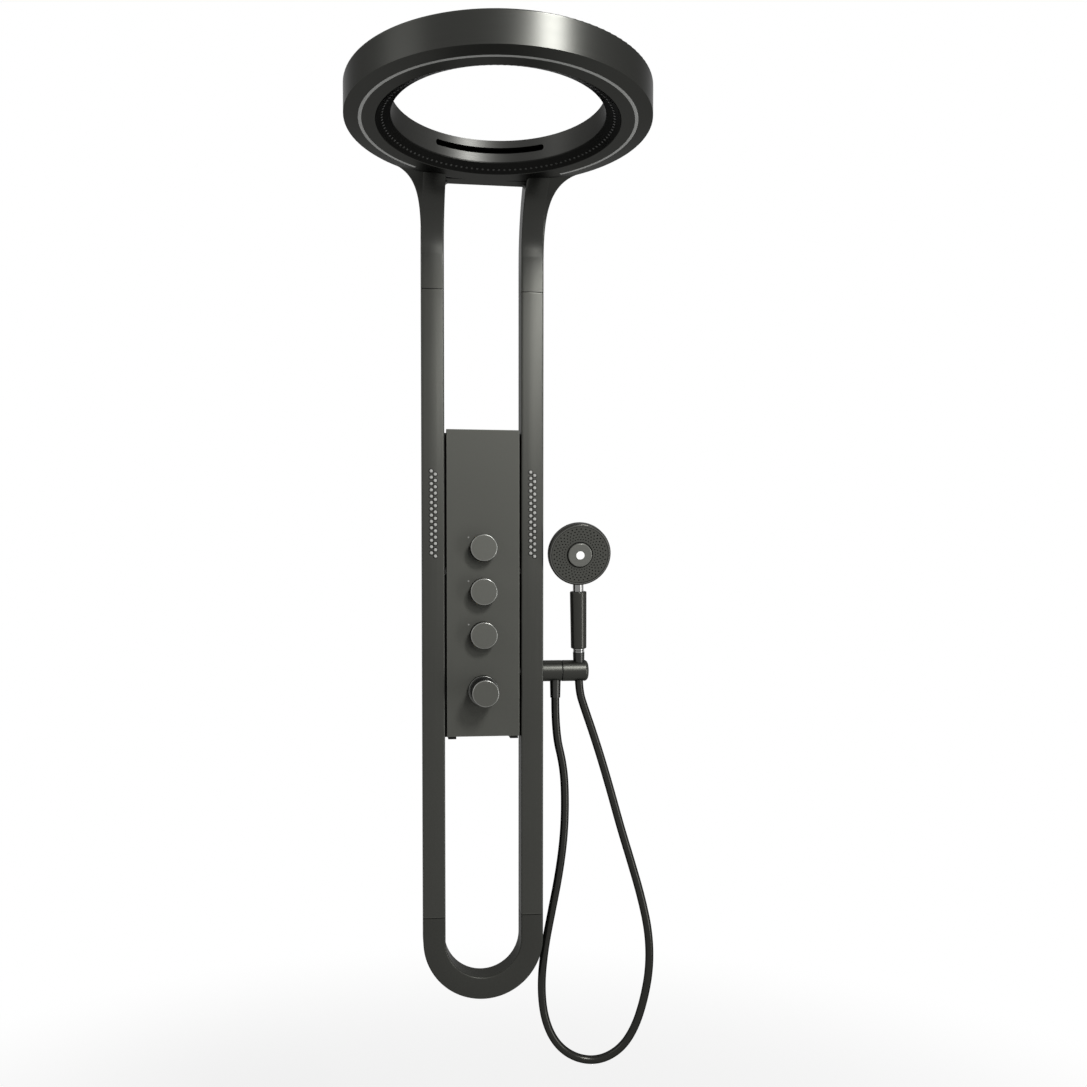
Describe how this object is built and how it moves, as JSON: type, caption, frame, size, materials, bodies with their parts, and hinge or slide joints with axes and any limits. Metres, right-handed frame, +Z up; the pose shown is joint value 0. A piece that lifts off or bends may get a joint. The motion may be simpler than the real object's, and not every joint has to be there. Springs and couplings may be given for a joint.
{
  "type": "shower system",
  "caption": "Wall-hung shower column with an open overhead ring, paired rails joined by a U bend, a control panel with push buttons and a knob, and a hand shower on a hose.",
  "frame": {"origin": "middle of the wall plate's bolt pattern, on the wall", "axes": "+Z up, +Y into the wall, front faces -Y, hose outlet towards +X"},
  "size_m": [0.4748, 0.4805, 1.4205],
  "materials": {
    "dark_metal": "satin gunmetal coat",
    "inner_band": "brushed gunmetal coat",
    "collar_metal": "gunmetal coat, glossier",
    "black_plastic": "black, moulded",
    "black_rubber": "black silicone",
    "jet_rubber": "grey silicone",
    "pale_trim": "pale grey",
    "mark_print": "pale grey pips",
    "nut_metal": "dark satin coat",
    "hose_skin": "black, satin",
    "handset_plastic": "dark satin",
    "face_plastic": "dark matt",
    "button_plastic": "grey satin",
    "white_plastic": "white",
    "bright_chrome": "polished",
    "steel": "bare",
    "brass": "bare",
    "tube_plastic": "pale grey"
  },
  "bodies": {
    "column": {"ring_housing": "dark_metal", "ring_top_cover": "dark_metal", "left_rail": "dark_metal", "right_rail": "dark_metal", "bottom_bend": "dark_metal", "control_panel": "dark_metal", "outlet_base": "dark_metal", "ring_inner_band": "inner_band", "knob_collar": "collar_metal", "nozzle_ring": "black_plastic", "left_panel_clip": "black_plastic", "right_panel_clip": "black_plastic", "waterfall_spout": "black_plastic", "upper_left_spigot": "black_plastic", "upper_right_spigot": "black_plastic", "lower_left_spigot": "black_plastic", "lower_right_spigot": "black_plastic", "nozzle_mat": "black_rubber", "left_jet_strip": "jet_rubber", "right_jet_strip": "jet_rubber", "ring_trim_strip": "pale_trim", "panel_marks": "mark_print", "hose_outlet_nut": "nut_metal", "shower_hose": "hose_skin", "wall_plate": "steel", "cross_ties": "steel", "tie_screws": "steel", "swivel_pin": "steel", "upper_button_spring": "steel", "middle_button_spring": "steel", "lower_button_spring": "steel", "valve_body": "brass", "thermostat_cartridge": "brass", "upper_flow_cartridge": "brass", "middle_flow_cartridge": "brass", "lower_flow_cartridge": "brass", "left_riser_tube": "tube_plastic", "right_riser_tube": "tube_plastic", "outlet_feed_tube": "tube_plastic"},
    "upper_button": {"upper_button_cap": "dark_metal", "upper_button_stem": "steel"},
    "middle_button": {"middle_button_cap": "dark_metal", "middle_button_stem": "steel"},
    "lower_button": {"lower_button_cap": "dark_metal", "lower_button_stem": "steel"},
    "temperature_control": {"temperature_knob": "dark_metal", "temperature_spindle": "steel"},
    "holder": {"swivel_holder": "dark_metal"},
    "hose_nut": {"handset_hose_nut": "nut_metal"},
    "handset": {"handset_lower_collar": "bright_chrome", "handset_grip": "handset_plastic", "handset_upper_collar": "bright_chrome", "handset_shell": "handset_plastic", "handset_face": "face_plastic", "handset_nozzle_mat": "black_plastic", "spray_core": "tube_plastic", "spray_button_spring": "steel"},
    "spray_button": {"spray_button": "button_plastic", "spray_button_dot": "white_plastic"}
  },
  "joints": [
    {"name": "upper_button_press", "type": "slide", "parent": "column", "child": "upper_button", "axis": [0, 1, 0], "range_m": [0, 0.005], "stiffness_N_per_m": 400, "springref_m": -0.002, "deforming": ["upper_button_spring"]},
    {"name": "middle_button_press", "type": "slide", "parent": "column", "child": "middle_button", "axis": [0, 1, 0], "range_m": [0, 0.005], "stiffness_N_per_m": 400, "springref_m": -0.002, "deforming": ["middle_button_spring"]},
    {"name": "lower_button_press", "type": "slide", "parent": "column", "child": "lower_button", "axis": [0, 1, 0], "range_m": [0, 0.005], "stiffness_N_per_m": 400, "springref_m": -0.002, "deforming": ["lower_button_spring"]},
    {"name": "temperature_turn", "type": "hinge", "parent": "column", "child": "temperature_control", "pos_m": [0, -0.06, -0.1675], "axis": [0, 1, 0], "range_deg": [-110, 110]},
    {"name": "holder_swivel", "type": "hinge", "parent": "column", "child": "holder", "pos_m": [0.155, -0.022, -0.139], "axis": [1, 0, 0], "range_deg": [-5, 25], "deforming": ["shower_hose"]},
    {"name": "handset_lift", "type": "slide", "parent": "holder", "child": "hose_nut", "axis": [-0.0262, -0.0871, 0.9959], "range_m": [0, 0.06], "deforming": ["shower_hose"]},
    {"name": "handset_turn", "type": "hinge", "parent": "hose_nut", "child": "handset", "pos_m": [0.155, -0.022, -0.139], "axis": [-0.0262, -0.0871, 0.9959], "range_deg": [-10, 90]},
    {"name": "spray_button_press", "type": "slide", "parent": "handset", "child": "spray_button", "axis": [0, 0.9703, 0.2419], "range_m": [0, 0.002], "stiffness_N_per_m": 600, "springref_m": -0.001, "deforming": ["spray_button_spring"]}
  ]
}
